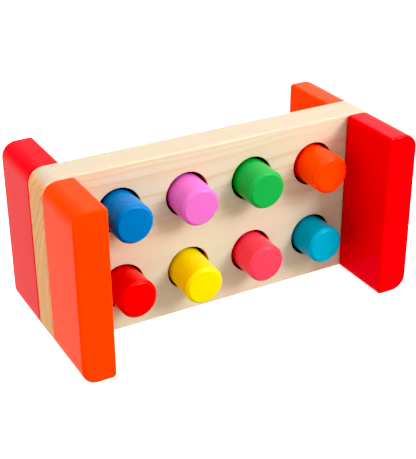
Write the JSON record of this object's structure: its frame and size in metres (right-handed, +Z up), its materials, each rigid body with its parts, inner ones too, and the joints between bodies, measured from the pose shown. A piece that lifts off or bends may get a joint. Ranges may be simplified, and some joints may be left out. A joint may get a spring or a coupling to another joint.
{
  "type": "toy pounding bench",
  "caption": "Toddler's wooden pounding bench: a drilled upright board with painted leg boards at both ends and coloured round pegs that are pounded through its holes.",
  "frame": {"origin": "middle of the footprint of the bench lying on its long side, at the surface it lies on", "axes": "+X along the board from left to right, -Y towards the front face, +Z up"},
  "size_m": [0.228, 0.1124, 0.11],
  "materials": {
    "pine": "sanded pale pine under a thin clear satin lacquer",
    "orange_paint": "opaque gloss paint over wood",
    "red_paint": "opaque gloss paint over wood",
    "dowel_beech": "plain turned beech",
    "grip_rubber": "plain black rubber",
    "peg_blue_paint": "opaque satin paint over turned wood",
    "peg_violet_paint": "opaque satin paint over turned wood",
    "peg_green_paint": "opaque satin paint over turned wood",
    "peg_orange_paint": "opaque satin paint over turned wood",
    "peg_red_paint": "opaque satin paint over turned wood",
    "peg_yellow_paint": "opaque satin paint over turned wood",
    "peg_coral_paint": "opaque satin paint over turned wood",
    "peg_cyan_paint": "opaque satin paint over turned wood"
  },
  "bodies": {
    "bench": {"panel": "pine", "leg_front_left": "orange_paint", "leg_rear_left": "red_paint", "leg_front_right": "red_paint", "leg_rear_right": "orange_paint", "dowel_left_lower": "dowel_beech", "dowel_left_upper": "dowel_beech", "dowel_right_lower": "dowel_beech", "dowel_right_upper": "dowel_beech", "grip_ring_blue": "grip_rubber", "grip_ring_violet": "grip_rubber", "grip_ring_green": "grip_rubber", "grip_ring_orange": "grip_rubber", "grip_ring_red": "grip_rubber", "grip_ring_yellow": "grip_rubber", "grip_ring_coral": "grip_rubber", "grip_ring_cyan": "grip_rubber"},
    "peg_blue": {"peg_blue": "peg_blue_paint"},
    "peg_violet": {"peg_violet": "peg_violet_paint"},
    "peg_green": {"peg_green": "peg_green_paint"},
    "peg_orange": {"peg_orange": "peg_orange_paint"},
    "peg_red": {"peg_red": "peg_red_paint"},
    "peg_yellow": {"peg_yellow": "peg_yellow_paint"},
    "peg_coral": {"peg_coral": "peg_coral_paint"},
    "peg_cyan": {"peg_cyan": "peg_cyan_paint"}
  },
  "joints": [
    {"name": "peg_blue_slide", "type": "slide", "parent": "bench", "child": "peg_blue", "axis": [-0.0087, 1, 0], "range_m": [-0.019, 0.0215]},
    {"name": "peg_violet_slide", "type": "slide", "parent": "bench", "child": "peg_violet", "axis": [0.0087, 0.9986, 0.0523], "range_m": [-0.022, 0.0185]},
    {"name": "peg_green_slide", "type": "slide", "parent": "bench", "child": "peg_green", "axis": [0.0087, 0.9998, 0.0175], "range_m": [-0.021, 0.0195]},
    {"name": "peg_orange_slide", "type": "slide", "parent": "bench", "child": "peg_orange", "axis": [-0.0175, 0.9998, 0.0087], "range_m": [-0.0195, 0.021]},
    {"name": "peg_red_slide", "type": "slide", "parent": "bench", "child": "peg_red", "axis": [-0.0349, 0.999, -0.0262], "range_m": [-0.019, 0.0215]},
    {"name": "peg_yellow_slide", "type": "slide", "parent": "bench", "child": "peg_yellow", "axis": [0.0349, 0.9988, 0.0349], "range_m": [-0.0165, 0.024]},
    {"name": "peg_coral_slide", "type": "slide", "parent": "bench", "child": "peg_coral", "axis": [0.0087, 0.9999, 0.0087], "range_m": [-0.02, 0.0205]},
    {"name": "peg_cyan_slide", "type": "slide", "parent": "bench", "child": "peg_cyan", "axis": [-0.0087, 1, 0], "range_m": [-0.0215, 0.019]}
  ]
}
